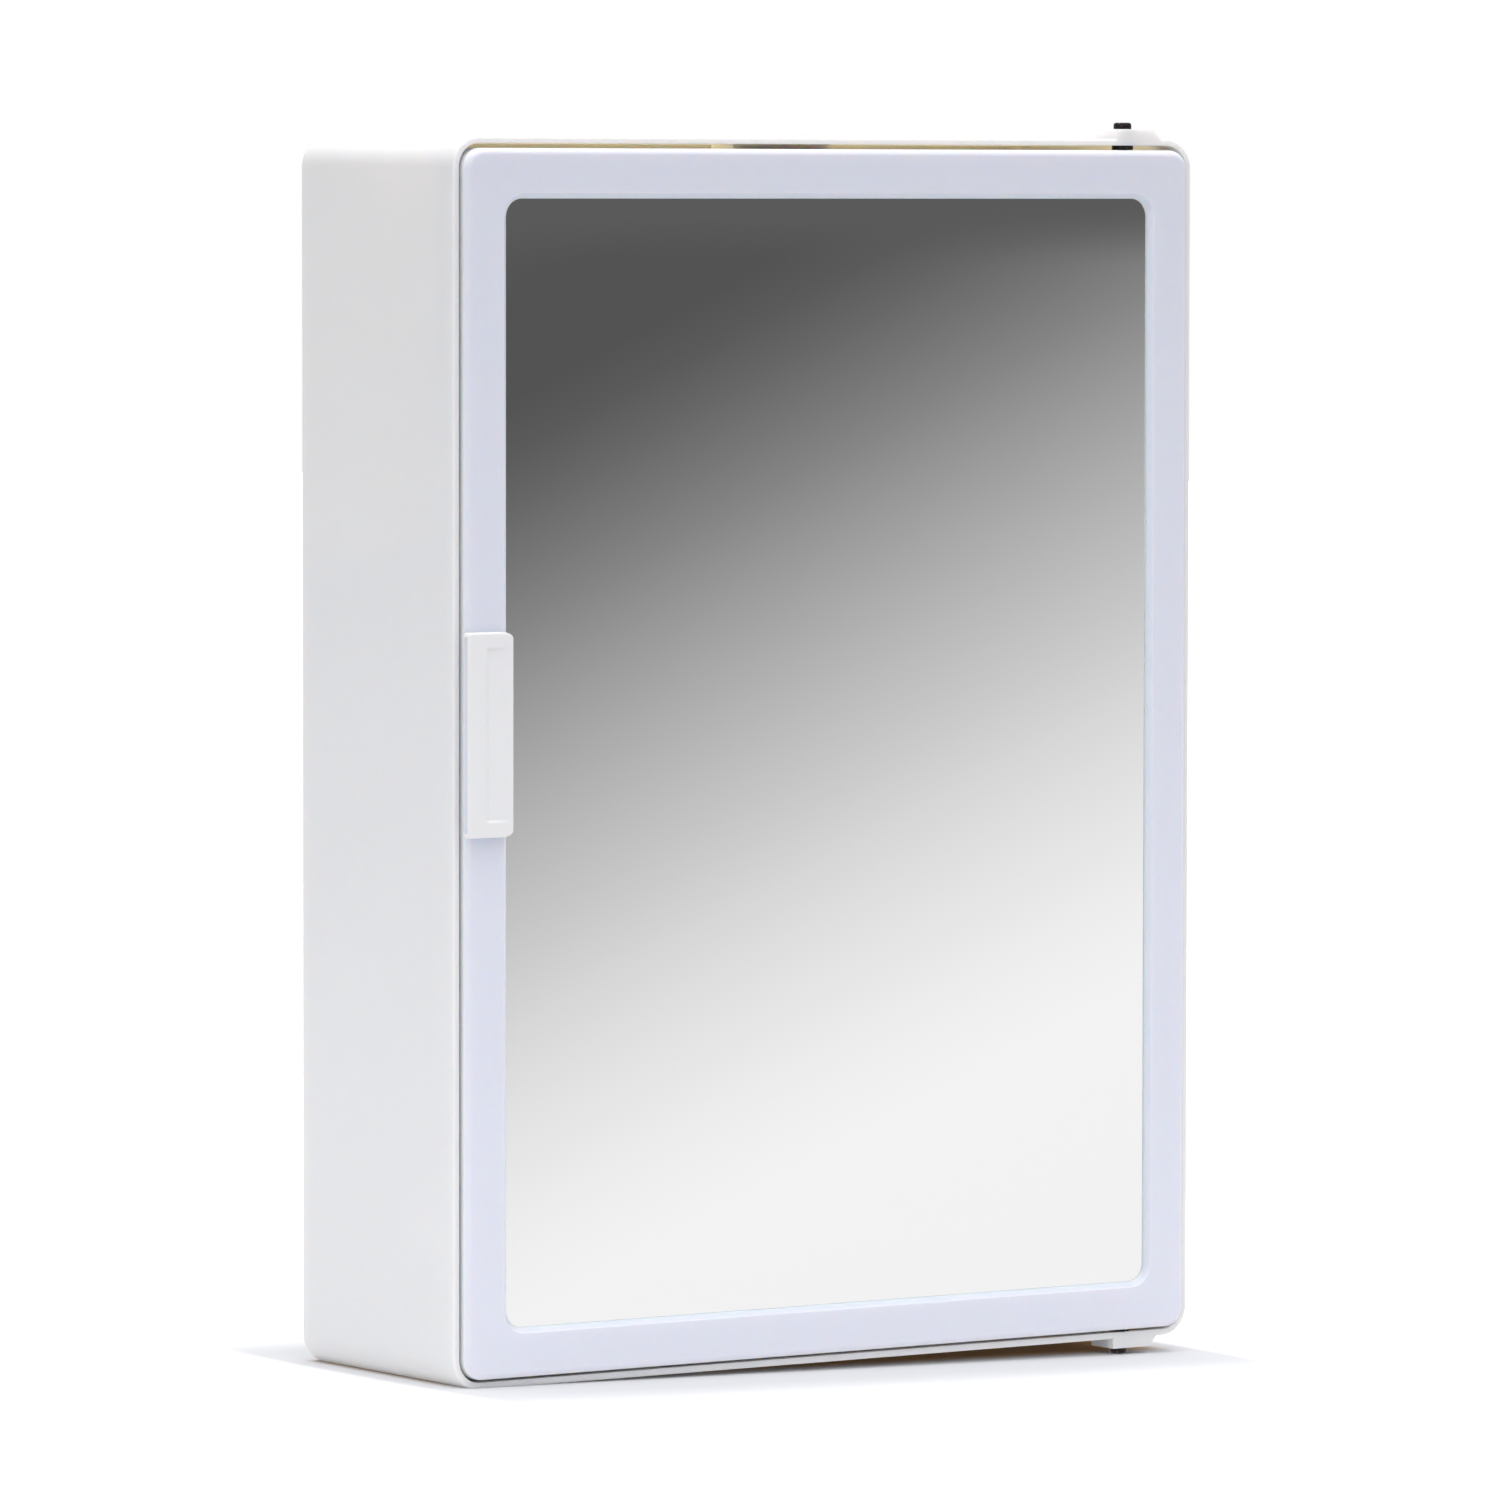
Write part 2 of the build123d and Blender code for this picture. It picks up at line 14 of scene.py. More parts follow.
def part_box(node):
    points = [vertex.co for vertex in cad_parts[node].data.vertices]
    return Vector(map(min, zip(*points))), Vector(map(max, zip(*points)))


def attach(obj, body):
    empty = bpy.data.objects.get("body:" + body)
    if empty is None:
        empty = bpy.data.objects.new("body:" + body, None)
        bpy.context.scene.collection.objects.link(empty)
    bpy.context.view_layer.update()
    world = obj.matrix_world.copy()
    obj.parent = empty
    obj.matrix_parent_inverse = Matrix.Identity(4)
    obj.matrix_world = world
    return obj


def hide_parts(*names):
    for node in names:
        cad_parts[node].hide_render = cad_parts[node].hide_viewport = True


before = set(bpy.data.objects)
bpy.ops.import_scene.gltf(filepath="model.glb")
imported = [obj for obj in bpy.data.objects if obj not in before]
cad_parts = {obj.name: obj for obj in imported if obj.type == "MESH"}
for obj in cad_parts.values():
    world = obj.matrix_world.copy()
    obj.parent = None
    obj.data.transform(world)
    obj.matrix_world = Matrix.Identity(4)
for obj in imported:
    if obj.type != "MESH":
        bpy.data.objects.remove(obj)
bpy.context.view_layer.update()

LOG = logging.getLogger("mirror_cabinet")
MM = 0.001
TURN = 2 * math.pi

# Sizes of the CAD body that its box doesn't give.
BODY_WALL = 2.2 * MM
BODY_CORNER = 10.0 * MM
BACK_RECESS = 1.2 * MM

# Half the width of an ejector mark's ring, and how far it stands off the wall.
MARK_HALF_WIDTH = 0.3 * MM
MARK_RISE = 0.12 * MM

Colour = tuple[float, float, float]
Shape = tuple[np.ndarray, list[Any]]


class Rider(Enum):
    """The CAD body that a piece moves with."""

    CABINET = "cabinet"
    DOOR = "door"


# Shader maths


class Sock:
    """A shader socket that holds a value; arithmetic on it adds Math nodes."""

    def __init__(self, board: "Board", socket: bpy.types.NodeSocket) -> None:
        """Keep the board and the socket."""
        self.board, self.socket = board, socket

    def __add__(self, other: "Sock | float") -> "Sock":
        """Sum."""
        return self.board.maths("ADD", self, other)

    __radd__ = __add__

    def __sub__(self, other: "Sock | float") -> "Sock":
        """Difference."""
        return self.board.maths("SUBTRACT", self, other)

    def __rsub__(self, other: float) -> "Sock":
        """A number less this value."""
        return self.board.maths("SUBTRACT", other, self)

    def __mul__(self, other: "Sock | float") -> "Sock":
        """Product."""
        return self.board.maths("MULTIPLY", self, other)

    __rmul__ = __mul__

    def __abs__(self) -> "Sock":
        """Absolute value."""
        return self.board.maths("ABSOLUTE", self)


class Board:
    """The node tree of one material, or of the world."""

    def __init__(self, tree: bpy.types.NodeTree) -> None:
        """Start with an empty tree."""
        self.tree = tree
        tree.nodes.clear()

    def node(self, kind: str, settings: dict | None = None, inputs: dict | None = None) -> bpy.types.Node:
        """Add a node.

        Args:
            kind: Blender's type name.
            settings: properties, set first; "stops" holds a ramp's (place, colour) pairs.
            inputs: values or Sock links, by the socket's name or number.

        Returns:
            The node.
        """
        made = self.tree.nodes.new(kind)
        for name, value in (settings or {}).items():
            if name != "stops":
                setattr(made, name, value)
                continue
            while len(made.color_ramp.elements) < len(value):
                made.color_ramp.elements.new(1.0)
            for element, (place, colour) in zip(made.color_ramp.elements, value):
                element.position = place
                element.color = (*colour, 1.0)
        for key, value in (inputs or {}).items():
            target = made.inputs[key]
            if isinstance(value, Sock):
                self.tree.links.new(value.socket, target)
            elif target.type == "RGBA":
                target.default_value = (*value, 1.0)
            else:
                target.default_value = value
        return made

    def out(self, made: bpy.types.Node, key: int | str = 0) -> Sock:
        """One output of a node."""
        return Sock(self, made.outputs[key])

    def maths(self, operation: str, *values: Sock | float) -> Sock:
        """A Math node on one to three values."""
        return self.out(self.node("ShaderNodeMath", {"operation": operation}, dict(enumerate(values))))

    def step(self, value: Sock, low: float, high: float) -> Sock:
        """A smooth step that is 0 at low and 1 at high, whichever is the larger."""
        settings = {"interpolation_type": "SMOOTHSTEP"}
        return self.out(self.node("ShaderNodeMapRange", settings, {0: value, 1: low, 2: high}))

    def blend(self, share: Sock | float, first: Sock | Colour, second: Sock | Colour) -> Sock:
        """A colour between two others."""
        made = self.node("ShaderNodeMix", {"data_type": "RGBA"}, {0: share, 6: first, 7: second})
        return self.out(made, 2)

    def place(self) -> tuple[Sock, Sock, Sock, Sock]:
        """Object coordinates, whole and as x, y and z."""
        whole = self.out(self.node("ShaderNodeTexCoord"), "Object")
        parts = self.node("ShaderNodeSeparateXYZ", None, {0: whole})
        return whole, self.out(parts, 0), self.out(parts, 1), self.out(parts, 2)

    def noise(self, where: Sock, scale: float, detail: float = 2.0) -> Sock:
        """Soft noise from 0 to 1, with scale blotches in a metre."""
        inputs = {"Vector": where, "Scale": scale, "Detail": detail}
        return self.out(self.node("ShaderNodeTexNoise", None, inputs), "Fac")

    def bump(self, height: Sock, depth: float, below: Sock | None = None) -> Sock:
        """A normal from a height of 0 to 1 that stands for depth metres, laid over another normal if there is one."""
        inputs = {"Height": height, "Distance": depth}
        if below is not None:
            inputs["Normal"] = below
        return self.out(self.node("ShaderNodeBump", None, inputs))

    def finish(self, surface: bpy.types.Node, output: str = "ShaderNodeOutputMaterial") -> None:
        """Send a shader to the tree's output."""
        self.node(output, None, {"Surface": self.out(surface)})


# Finishes


@dataclass(frozen=True)
class Finish:
    """What all finishes share: a name, the record's slot and a base colour."""

    name: str
    slot: str
    colour: Colour

    def shade(self, board: Board) -> dict[str, Any]:
        """The inputs of the Principled shader."""
        raise NotImplementedError

    def material(self) -> bpy.types.Material:
        """The material, made once."""
        found = bpy.data.materials.get(self.name)
        if found is None:
            found = bpy.data.materials.new(self.name)
            found.use_nodes = True
            board = Board(found.node_tree)
            board.finish(board.node("ShaderNodeBsdfPrincipled", None, self.shade(board)))
        return found


@dataclass(frozen=True)
class MouldedPlastic(Finish):
    """Injection-moulded plastic: faint flow mottling, fine grain, slow waves, light that soaks in.

    Depths are in mm. The inside colour is a painted warm shade on the walls inside the closed cabinet; it starts and
    is full at two depths behind the body's rim. The colour on the door's sides is painted light, paler and more
    neutral than its face so that the slit round the door looks lit; it starts and is full at two depths behind the
    door's face.
    """

    # inside: a painted warm shade on the walls inside the closed cabinet, not the plastic's own colour.
    inside: Colour | None = None
    inside_shade_from: tuple[float, float] = (12.0, 18.0)
    # Painted light: a paler, more neutral colour on the door's sides that brightens the shaded slit round the door.
    skirt_painted_light: Colour | None = None
    skirt_painted_light_from: tuple[float, float] = (0.5, 2.2)
    roughness: float = 0.4
    roughness_spread: float = 0.08
    gloss_per_metre: float = 60.0
    mottling: float = 0.03
    flow_per_metre: float = 14.0
    grain: float = 0.004
    grain_per_metre: float = 900.0
    waves: float = 0.1
    waves_per_metre: float = 9.0
    soak: float = 0.3
    soak_depth: float = 4.0
    soak_tint: Colour = (1.0, 0.62, 0.4)

    def shade(self, board: Board) -> dict[str, Any]:
        """Mottle the colour and roughness with slow noise, and add grain and waves as bump."""
        whole, x, y, z = board.place()
        flow = board.noise(whole, self.flow_per_metre)
        fine = board.noise(whole, self.grain_per_metre, 1.0)
        shaded = tuple(c * (1 - self.mottling) for c in self.colour)
        colour = board.blend(flow, shaded, self.colour)
        # Painted warm shade on the walls inside the cabinet.
        if self.inside is not None:
            colour = board.blend(self.hollow(board, x, y, z), colour, self.inside)
        # Painted light on the door's sides behind its face, where the slit round the door is in shade.
        if self.skirt_painted_light is not None:
            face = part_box("door_frame")[0].y
            start, full = (face + depth * MM for depth in self.skirt_painted_light_from)
            colour = board.blend(board.step(y, start, full), colour, self.skirt_painted_light)
        swell = board.noise(whole, self.waves_per_metre, 0.0)
        gloss = board.noise(whole, self.gloss_per_metre)
        return {
            "Base Color": colour,
            "Roughness": self.roughness + (gloss - 0.5) * self.roughness_spread,
            "Normal": board.bump(swell, self.waves * MM, board.bump(fine, self.grain * MM)),
            "IOR": 1.5,
            "Subsurface Weight": self.soak,
            "Subsurface Radius": self.soak_tint,
            "Subsurface Scale": self.soak_depth * MM,
        }

    def hollow(self, board: Board, x: Sock, y: Sock, z: Sock) -> Sock:
        """A mask that is 1 on the walls inside the cabinet, behind the door, where the warm shade is painted.

        It is the distance to the rounded rectangle that runs half a wall in from the outside: past the straight
        parts, the root of the squares of what x and z overshoot the corner's centre by, less the corner's radius.
        """
        low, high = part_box("cabinet_body")
        half_wall, soft = BODY_WALL / 2, 0.3 * MM
        corner = BODY_CORNER - half_wall
        flat_x = high.x - half_wall - corner
        flat_z = half_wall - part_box("lower_hinge_washer")[0].z - corner
        over_x = board.maths("MAXIMUM", abs(x) - flat_x, 0.0)
        over_z = board.maths("MAXIMUM", abs(z) - flat_z, 0.0)
        out = board.maths("SQRT", over_x * over_x + over_z * over_z) - corner
        middle = -(BACK_RECESS + half_wall)
        floor = board.step(y, middle + soft, middle - soft)
        start, full = (low.y + depth * MM for depth in self.inside_shade_from)
        return board.step(out, soft, -soft) * floor * board.step(y, start, full)


@dataclass(frozen=True)
class Mirror(Finish):
    """Silvered glass: a bright front, green ground edges and a grey painted back.

    The skin says how deep in mm each face's own look starts and is full.
    """

    edge: Colour = (0.32, 0.5, 0.42)
    paint: Colour = (0.26, 0.27, 0.28)
    edge_roughness: float = 0.3
    skin: tuple[float, float] = (0.2, 0.1)
    smears_per_metre: float = 22.0
    smear_threshold: tuple[float, float] = (0.5, 0.8)
    smear_roughness: float = 0.004

    def shade(self, board: Board) -> dict[str, Any]:
        """Choose silver, edge or paint by the distance to each face, and add faint smears to the silver."""
        low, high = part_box("mirror_glass")
        whole, _, y, _ = board.place()
        far, near = (depth * MM for depth in self.skin)
        front = board.step(y, low.y + far, low.y + near)
        back = board.step(y, high.y - far, high.y - near)
        smears = board.step(board.noise(whole, self.smears_per_metre, 6.0), *self.smear_threshold)
        glass = board.blend(front, self.edge, self.colour)
        return {
            "Base Color": board.blend(back, glass, self.paint),
            "Metallic": front,
            "Roughness": self.edge_roughness - front * self.edge_roughness + smears * self.smear_roughness,
            "IOR": 1.5,
        }


@dataclass(frozen=True)
class Metal(Finish):
    """Steel: slow changes of tone, fine scratches, and bright, glossier specks.

    A larger speck share lowers the noise's thresholds, so that more specks show. The scratches' depth is in mm.
    """

    speck_colour: Colour = (0.75, 0.75, 0.74)
    speck_share: float = 0.3
    specks_per_metre: float = 1100.0
    speck_threshold: tuple[float, float] = (0.74, 0.86)
    tone_per_metre: float = 160.0
    dulling: float = 0.25
    scratches_per_metre: float = 2400.0
    scratch_depth: float = 0.01
    metallic: float = 1.0
    roughness: float = 0.3
    roughness_spread: float = 0.15
    speck_gloss: float = 0.1

    def shade(self, board: Board) -> dict[str, Any]:
        """Mix the speck colour in where fine noise is high, and roughen the rest."""
        whole, _, _, _ = board.place()
        start, full = (threshold - self.speck_share for threshold in self.speck_threshold)
        specks = board.step(board.noise(whole, self.specks_per_metre, 3.0), start, full)
        tone = board.noise(whole, self.tone_per_metre)
        dull = tuple(c * (1 - self.dulling) for c in self.colour)
        return {
            "Base Color": board.blend(specks, board.blend(tone, dull, self.colour), self.speck_colour),
            "Metallic": self.metallic,
            "Roughness": self.roughness + tone * self.roughness_spread - specks * self.speck_gloss,
            "Normal": board.bump(board.noise(whole, self.scratches_per_metre, 1.0), self.scratch_depth * MM),
        }


@dataclass(frozen=True)
class Soft(Finish):
    """A soft or fired material with an even, open texture: foam, rubber or ferrite. The pores' depth is in mm."""

    pale: Colour = (0.5, 0.5, 0.5)
    pores_per_metre: float = 1500.0
    pore_depth: float = 0.05
    pore_gloss: float = 0.1
    roughness: float = 0.85

    def shade(self, board: Board) -> dict[str, Any]:
        """Speckle the colour and press the same speckles in."""
        whole, _, _, _ = board.place()
        pores = board.noise(whole, self.pores_per_metre, 3.0)
        return {
            "Base Color": board.blend(pores, self.colour, self.pale),
            "Roughness": self.roughness - pores * self.pore_gloss,
            "Normal": board.bump(pores, self.pore_depth * MM),
        }


# The body's inside colour is a painted warm shade.
BODY_PLASTIC = MouldedPlastic(
    "white_body_plastic", "body_plastic", (0.852, 0.837, 0.846), inside=(0.87, 0.84, 0.77), roughness=0.42,
    roughness_spread=0.14, grain=0.012, grain_per_metre=700.0, waves=0.25, soak=0.6, soak_depth=6.0,
    soak_tint=(1.0, 0.8, 0.6),
)
# The colour on the door's sides is painted light.
DOOR_PLASTIC = MouldedPlastic(
    "cool_white_door_plastic", "door_plastic", (0.77, 0.768, 0.868), skirt_painted_light=(0.9, 0.9, 0.915), roughness=0.2,
    roughness_spread=0.06, mottling=0.015, grain=0.003, waves=0.12, soak=0.6, soak_depth=5.0,
)
HANDLE_PLASTIC = MouldedPlastic(
    "off_white_handle_plastic", "handle_plastic", (0.825, 0.83, 0.853), roughness=0.42, grain=0.008,
    grain_per_metre=1300.0, mottling=0.02, waves=0.03, soak_depth=1.5,
)
SHELF_PLASTIC = MouldedPlastic(
    "shelf_plastic", "shelf_plastic", (0.82, 0.83, 0.84), roughness=0.35, waves=0.15, soak_depth=2.0,
)
CATCH_PLASTIC = MouldedPlastic(
    "catch_plastic", "catch_plastic", (0.82, 0.7, 0.5), mottling=0.06, soak=0.5, soak_depth=3.0,
)
MIRROR = Mirror("silvered_glass", "mirror", (0.985, 0.985, 0.985))
FOAM = Soft("backing_foam", "foam", (0.3, 0.3, 0.31), pale=(0.48, 0.48, 0.49))
FERRITE = Soft("ferrite", "ferrite", (0.03, 0.03, 0.035), pale=(0.07, 0.07, 0.075), pore_depth=0.02, roughness=0.6)
RUBBER = Soft("bumper_rubber", "bumper_rubber", (0.42, 0.42, 0.42), pale=(0.55, 0.55, 0.54), pore_depth=0.01)
ZINC_STEEL = Metal("zinc_plated_steel", "zinc_steel", (0.62, 0.62, 0.6), speck_share=0.12, roughness=0.28)
BLACK_STEEL = Metal(
    "blackened_steel", "black_steel", (0.025, 0.018, 0.018), speck_colour=(0.5, 0.47, 0.46), speck_share=0.1, metallic=0.7,
)


# Shapes


def rounded_outline(width: float, height: float, radius: float, per_corner: int = 14) -> np.ndarray:
    """A rounded rectangle round the origin, anticlockwise.

    Each corner is its centre plus the radius times a quarter of the unit circle; the straight sides join them.

    Args:
        width: across.
        height: up.
        radius: of the corners.
        per_corner: points on each corner.

    Returns:
        Points, one row each.
    """
    turn = np.linspace(0, TURN / 4, per_corner)
    corner = np.arange(4)[:, None]
    angle = corner * TURN / 4 + turn
    right = np.where(np.isin(corner, (0, 3)), 1, -1)
    up = np.where(corner < 2, 1, -1)
    x = right * (width / 2 - radius) + radius * np.cos(angle)
    z = up * (height / 2 - radius) + radius * np.sin(angle)
    return np.stack([x.ravel(), z.ravel()], axis=1)


def lofted(rings: np.ndarray, capped: bool = True) -> Shape:
    """Join closed rings of points into a skin.

    Args:
        rings: one row of points for each ring, shape (rings, points, 3).
        capped: close the first and the last ring with a flat face; otherwise the last ring joins the first.

    Returns:
        Points and faces.
    """
    count, around = rings.shape[:2]
    spans = count - 1 if capped else count
    row = np.arange(spans)[:, None] * around
    next_row = (np.arange(spans)[:, None] + 1) % count * around
    here, there = np.arange(around), (np.arange(around) + 1) % around
    quads = np.stack([row + here, row + there, next_row + there, next_row + here], axis=-1).reshape(-1, 4)
    faces: list[Any] = quads.tolist()
    if capped:
        faces += [list(range(around))[::-1], list(range((count - 1) * around, count * around))]
    return rings.reshape(-1, 3), faces


def gathered(shapes: Iterable[Shape]) -> Shape:
    """Several shapes as one, with the faces of each renumbered past the points before it."""
    points, faces, start = [], [], 0
    for some_points, some_faces in shapes:
        points.append(some_points)
        faces += [[start + i for i in face] for face in some_faces]
        start += len(some_points)
    return np.concatenate(points), faces


def merged_copy(node: str) -> Shape:
    """The triangles of a CAD node with the points that coincide made one."""
    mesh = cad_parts[node].data
    points = np.zeros(len(mesh.vertices) * 3, np.float32)
    mesh.vertices.foreach_get("co", points)
    corners = np.zeros(len(mesh.loops), np.int32)
    mesh.loops.foreach_get("vertex_index", corners)
    keys = np.round(points.reshape(-1, 3) * 1e6).astype(np.int64)
    _, first, joined = np.unique(keys, axis=0, return_index=True, return_inverse=True)
    faces = joined.reshape(-1)[corners].reshape(-1, 3)
    whole = (faces[:, 0] != faces[:, 1]) & (faces[:, 1] != faces[:, 2]) & (faces[:, 0] != faces[:, 2])
    return points.reshape(-1, 3)[first], faces[whole].tolist()


def piece(
    name: str, shape: Shape, finish: Finish, rider: Rider, stands_for: Sequence[str] = (), crease: float = 32.0,
    turn_out: bool = True,
) -> bpy.types.Object:
    """Make a piece with smooth shading between its creases.

    Args:
        name: of the object.
        shape: points and faces, in the row frame.
        finish: its finish and slot.
        rider: the body that carries it.
        stands_for: CAD nodes that it takes the place of.
        crease: the least angle in degrees that stays sharp.
        turn_out: work out again which way each face points.

    Returns:
        The object.
    """
    mesh = bpy.data.meshes.new(name)
    mesh.from_pydata(shape[0].tolist(), [], shape[1])
    work = bmesh.new()
    work.from_mesh(mesh)
    if turn_out:
        bmesh.ops.recalc_face_normals(work, faces=work.faces)
    for face in work.faces:
        face.smooth = True
    for edge in work.edges:
        edge.smooth = len(edge.link_faces) == 2 and edge.calc_face_angle(0.0) < math.radians(crease)
    work.to_mesh(mesh)
    work.free()
    made = bpy.data.objects.new(name, mesh)
    bpy.context.scene.collection.objects.link(made)
    weighted = made.modifiers.new("flat_faces_first", "WEIGHTED_NORMAL")
    weighted.keep_sharp = True
    weighted.weight = 100
    mesh.materials.append(finish.material())
    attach(made, rider.value)
    if stands_for:
        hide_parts(*stands_for)
    LOG.info("%s: %d points, rides on %s", name, len(mesh.vertices), rider.value)
    return made


def smooth_copy(name: str, node: str, finish: Finish, rider: Rider) -> None:
    """Put a smooth copy of a CAD node in its place."""
    piece(name, merged_copy(node), finish, rider, [node], turn_out=False)


def dress(finish: Finish, *nodes: str) -> None:
    """Give CAD nodes that keep their own mesh a finish."""
    for node in nodes:
        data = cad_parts[node].data
        data.materials.clear()
        data.materials.append(finish.material())
        LOG.info("%s: finished as %s", node, finish.name)


def smooth(value: np.ndarray) -> np.ndarray:
    """The smooth step 3t^2 - 2t^3 of a value held between 0 and 1."""
    held = np.clip(value, 0, 1)
    return held * held * (3 - 2 * held)


def ring_marks(centres: Sequence[tuple[float, float]], radius: float, depth: float, side: int) -> Shape:
    """Round ejector marks on a wall that is square to Y.

    Each mark is a thin ring: a point at angle a round the centre lies at the radius plus the half width times the
    cosine of b, and stands the rise times the sine of b off the wall.

    Args:
        centres: x and z of each mark.
        radius: of the rings.
        depth: y of the wall.
        side: 1 or -1, the way along Y that the marks stand proud.

    Returns:
        Points and faces.
    """
    round_, across = np.linspace(0, TURN, 49)[:-1, None], np.linspace(0, TURN, 9)[:-1]
    reach = radius + MARK_HALF_WIDTH * np.cos(across)
    rise = side * MARK_RISE * np.sin(across)
    rings = []
    for x, z in centres:
        ring_x, ring_z = x + reach * np.cos(round_), z + reach * np.sin(round_)
        rings.append(np.stack([ring_x, np.broadcast_to(depth + rise, ring_x.shape), ring_z], axis=-1))
    return gathered(lofted(ring, capped=False) for ring in rings)


# Sub-assemblies


@dataclass
class CabinetShell:
    """The moulded body with its shelves, bumpers and ejector marks, whose x and z are listed."""

    mark_radius: float = 3.5 * MM
    mark_columns: tuple[float, ...] = (-0.11, -0.04, 0.04, 0.11)
    mark_rows: tuple[float, ...] = (-0.185, -0.1, -0.03, 0.03, 0.1, 0.185)

    def build(self) -> None:
        """Make the smooth copies of the mouldings, and the marks on the inner face of the back."""
        smooth_copy("body_shell", "cabinet_body", BODY_PLASTIC, Rider.CABINET)
        for node in ("lower_shelf", "upper_shelf"):
            smooth_copy(f"{node}_tray", node, SHELF_PLASTIC, Rider.CABINET)
        places = [(x, z) for x in self.mark_columns for z in self.mark_rows]
        marks = ring_marks(places, self.mark_radius, -(BACK_RECESS + BODY_WALL), -1)
        piece("body_ejector_marks", marks, BODY_PLASTIC, Rider.CABINET)
        dress(RUBBER, "door_bumpers")


@dataclass
class Handle:
    """The low handle: one section carried up its height, with a scoop at its left and a dish in its front.

    Sizes are in mm, and distances across are measured from the left. A corner is the width and height of a quarter
    of an ellipse.
    """

    scoop_radius: float = 4.2
    lip: float = 1.1
    scoop_end: float = 1.6
    dish_left: float = 6.2
    dish_width: float = 10.4
    dish_depth: float = 0.95
    dish_slope: float = 2.4
    dish_half: float = 27.9
    dish_fade: float = 0.5
    scoop_fade: float = 0.15
    left_corner: tuple[float, float] = (1.5, 1.5)
    right_corner: tuple[float, float] = (4.6, 2.2)
    front_round: float = 0.8
    stud_radius: float = 2.5
    stud_root: float = 0.4
    stud_chamfer: float = 0.2
    screw_half_spacing: float = 18.0

    def section(self, width: float, proud: float, dish: np.ndarray, scoop: np.ndarray) -> np.ndarray:
        """The section across the handle, for each station.

        Anticlockwise from the back right: up the right side, round the front edge, along the front, where the dish
        deepens as a ramp and ends in a soft slope, round the left edge, down the lip and along the scoop's circle.

        Args:
            width: of the block, mm.
            proud: its height off the door, mm.
            dish: share of the dish at each station.
            scoop: share of the scoop at each station.

        Returns:
            Points (stations, around, 2) as distance from the left and distance off the door, mm.
        """
        turn = np.linspace(0, TURN / 4, 8)
        r = self.front_round
        right = np.stack([width - r + r * np.cos(turn), proud - r + r * np.sin(turn)], 1)
        left = np.stack([r - r * np.sin(turn), proud - r + r * np.cos(turn)], 1)
        start, end = self.dish_left, self.dish_left + self.dish_width
        slope = start + self.dish_slope
        on_ramp = np.linspace(width - r, slope + 0.4, 22)[1:]
        on_slope = np.linspace(slope + 0.2, start - 0.1, 22)
        u = np.concatenate([on_ramp, on_slope, [5.0, 3.6, 2.4, 1.4]])
        ramp = np.clip((end - u) / (end - start), 0, None) * smooth((u - start) / self.dish_slope)
        level = proud - self.dish_depth * dish[:, None] * ramp
        front = np.stack([np.broadcast_to(u, level.shape), level], -1)
        share = np.linspace(0, 1, 16)
        drop = self.scoop_radius - (proud - self.lip)
        last = math.asin(drop / self.scoop_radius)
        angle = TURN / 4 + (last - TURN / 4) * share
        hollow = np.stack([self.scoop_radius * np.cos(angle), self.scoop_radius * np.sin(angle) - drop], 1)
        wall = np.stack([0 * share, (proud - self.lip) * (1 - share)], 1)
        groove = wall + scoop[:, None, None] * (hollow - wall)
        fixed = [np.broadcast_to(part, (len(dish), *part.shape)) for part in (np.array([[width, 0.0]]), right, left)]
        return np.concatenate([fixed[0], fixed[1], front, fixed[2], groove], axis=1)

    def build(self) -> None:
        """Carry the section from the bottom to the top, drawn in towards the ends by the corners' ellipses."""
        low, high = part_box("door_handle")
        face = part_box("door_frame")[0].y
        width, half = (high.x - low.x) / MM, (high.z - low.z) / 2 / MM
        proud = (face - low.y) / MM
        curve = np.sin(np.linspace(0, TURN / 4, 9))
        heights = (self.front_round, self.left_corner[1], self.right_corner[1])
        near_dish_end, near_scoop_end = np.linspace(-0.6, 0.6, 9), np.linspace(-0.2, 0.2, 5)
        upper = [half - r + r * curve for r in heights]
        upper += [self.dish_half + near_dish_end, half - self.scoop_end + near_scoop_end]
        upper = np.unique(np.round(np.concatenate([np.linspace(0, half, 30), *upper]), 3))
        station = np.concatenate([-upper[:0:-1], upper])
        away = abs(station)

        def pull(wide: float, tall: float) -> np.ndarray:
            """How far a corner that is a quarter of an ellipse draws the edge in at each station."""
            into = np.clip((away - (half - tall)) / tall, 0, 1)
            return wide * (1 - np.sqrt(1 - into**2))

        def share(end: float, fade: float) -> np.ndarray:
            """1 at stations nearer the middle than the end, 0 at those past it, and a soft step between."""
            return 1 - smooth((away - end + fade) / (2 * fade))

        dish = share(self.dish_half, self.dish_fade)
        scoop = share(half - self.scoop_end, self.scoop_fade)
        flat = self.section(width, proud, dish, scoop)
        left, right = pull(*self.left_corner), width - pull(*self.right_corner)
        x = left[:, None] + flat[..., 0] * ((right - left) / width)[:, None]
        out = flat[..., 1] * (1 - pull(self.front_round, self.front_round) / proud)[:, None]
        z = np.broadcast_to(station[:, None], x.shape)
        middle = (low.z + high.z) / 2
        rings = np.stack([low.x + x * MM, face - out * MM, middle + z * MM], axis=-1)
        grip = piece("handle_grip", gathered([lofted(rings), *self.studs(face)]), HANDLE_PLASTIC, Rider.DOOR,
                     ["door_handle"], crease=50.0)
        LOG.info("%s: %d stations", grip.name, len(station))
        dress(BLACK_STEEL, "handle_screws")

